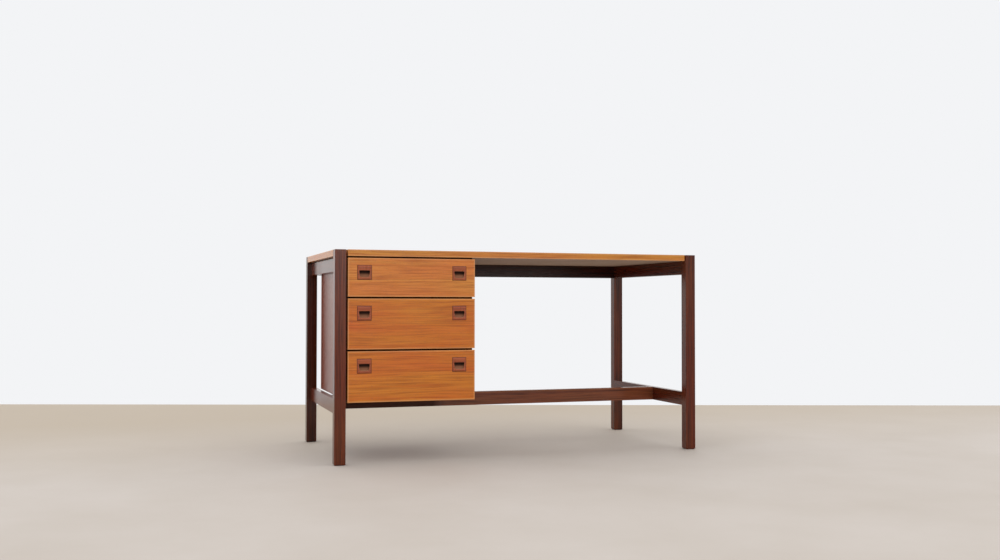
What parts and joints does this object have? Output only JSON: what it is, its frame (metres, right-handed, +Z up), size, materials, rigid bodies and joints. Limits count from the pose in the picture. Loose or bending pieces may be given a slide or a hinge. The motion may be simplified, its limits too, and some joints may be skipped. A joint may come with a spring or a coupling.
{
  "type": "writing desk with drawers",
  "caption": "Rectangular writing desk on square legs and an H-shaped lower frame, with a hung case of drawers with square recessed pulls on the left.",
  "frame": {"origin": "on the floor, at the centre of the desk's footprint", "axes": "+X to the sitter's right along the length, -Y to the front where the drawers open, +Z up"},
  "size_m": [1.4, 0.7, 0.75],
  "materials": {
    "frame_hardwood": "dark reddish-brown oiled hardwood, straight grain along each piece",
    "teak_top": "oiled teak veneer, grain along the length; plain grey-brown balancing veneer underneath",
    "teak_lipping": "oiled solid teak, grain along the length",
    "case_veneer": "dark reddish-brown veneered board, satin lacquer, vertical grain",
    "back_board": "thin plywood, satin",
    "runner_beech": "bare waxed beech",
    "drawer_teak": "oiled teak veneer, horizontal straight grain",
    "drawer_box_beech": "pale lacquered beech",
    "drawer_bottom_ply": "pale thin plywood",
    "pull_hardwood": "dark reddish-brown oiled hardwood",
    "dowel_beech": "bare beech",
    "screw_steel": "dull zinc-plated steel"
  },
  "bodies": {
    "desk": {"leg_front_left": "frame_hardwood", "leg_front_right": "frame_hardwood", "leg_back_left": "frame_hardwood", "leg_back_right": "frame_hardwood", "upper_rail_left": "frame_hardwood", "upper_rail_right": "frame_hardwood", "lower_rail_left": "frame_hardwood", "lower_rail_right": "frame_hardwood", "rear_apron": "frame_hardwood", "stretcher": "frame_hardwood", "top_panel": "teak_top", "top_lipping_front": "teak_lipping", "top_lipping_back": "teak_lipping", "top_lipping_left": "teak_lipping", "top_lipping_right": "teak_lipping", "case_side_left": "case_veneer", "case_side_right": "case_veneer", "case_top": "case_veneer", "case_bottom": "case_veneer", "case_back": "back_board", "runner_top_left": "runner_beech", "runner_top_right": "runner_beech", "runner_middle_left": "runner_beech", "runner_middle_right": "runner_beech", "runner_bottom_left": "runner_beech", "runner_bottom_right": "runner_beech", "frame_dowels": "dowel_beech", "case_dowels": "dowel_beech", "top_fixing_screws": "screw_steel", "case_fixing_screws": "screw_steel", "case_back_screws": "screw_steel", "runner_screws": "screw_steel"},
    "drawer_top": {"drawer_top_front": "drawer_teak", "drawer_top_side_left": "drawer_box_beech", "drawer_top_side_right": "drawer_box_beech", "drawer_top_back": "drawer_box_beech", "drawer_top_bottom": "drawer_bottom_ply", "drawer_top_pull_left": "pull_hardwood", "drawer_top_pull_right": "pull_hardwood", "drawer_top_screws": "screw_steel"},
    "drawer_middle": {"drawer_middle_front": "drawer_teak", "drawer_middle_side_left": "drawer_box_beech", "drawer_middle_side_right": "drawer_box_beech", "drawer_middle_back": "drawer_box_beech", "drawer_middle_bottom": "drawer_bottom_ply", "drawer_middle_pull_left": "pull_hardwood", "drawer_middle_pull_right": "pull_hardwood", "drawer_middle_screws": "screw_steel"},
    "drawer_bottom": {"drawer_bottom_front": "drawer_teak", "drawer_bottom_side_left": "drawer_box_beech", "drawer_bottom_side_right": "drawer_box_beech", "drawer_bottom_back": "drawer_box_beech", "drawer_bottom_bottom": "drawer_bottom_ply", "drawer_bottom_pull_left": "pull_hardwood", "drawer_bottom_pull_right": "pull_hardwood", "drawer_bottom_screws": "screw_steel"}
  },
  "joints": [
    {"name": "drawer_top_slide", "type": "slide", "parent": "desk", "child": "drawer_top", "axis": [0, -1, 0], "range_m": [0, 0.4]},
    {"name": "drawer_middle_slide", "type": "slide", "parent": "desk", "child": "drawer_middle", "axis": [0, -1, 0], "range_m": [0, 0.4]},
    {"name": "drawer_bottom_slide", "type": "slide", "parent": "desk", "child": "drawer_bottom", "axis": [0, -1, 0], "range_m": [0, 0.4]}
  ]
}
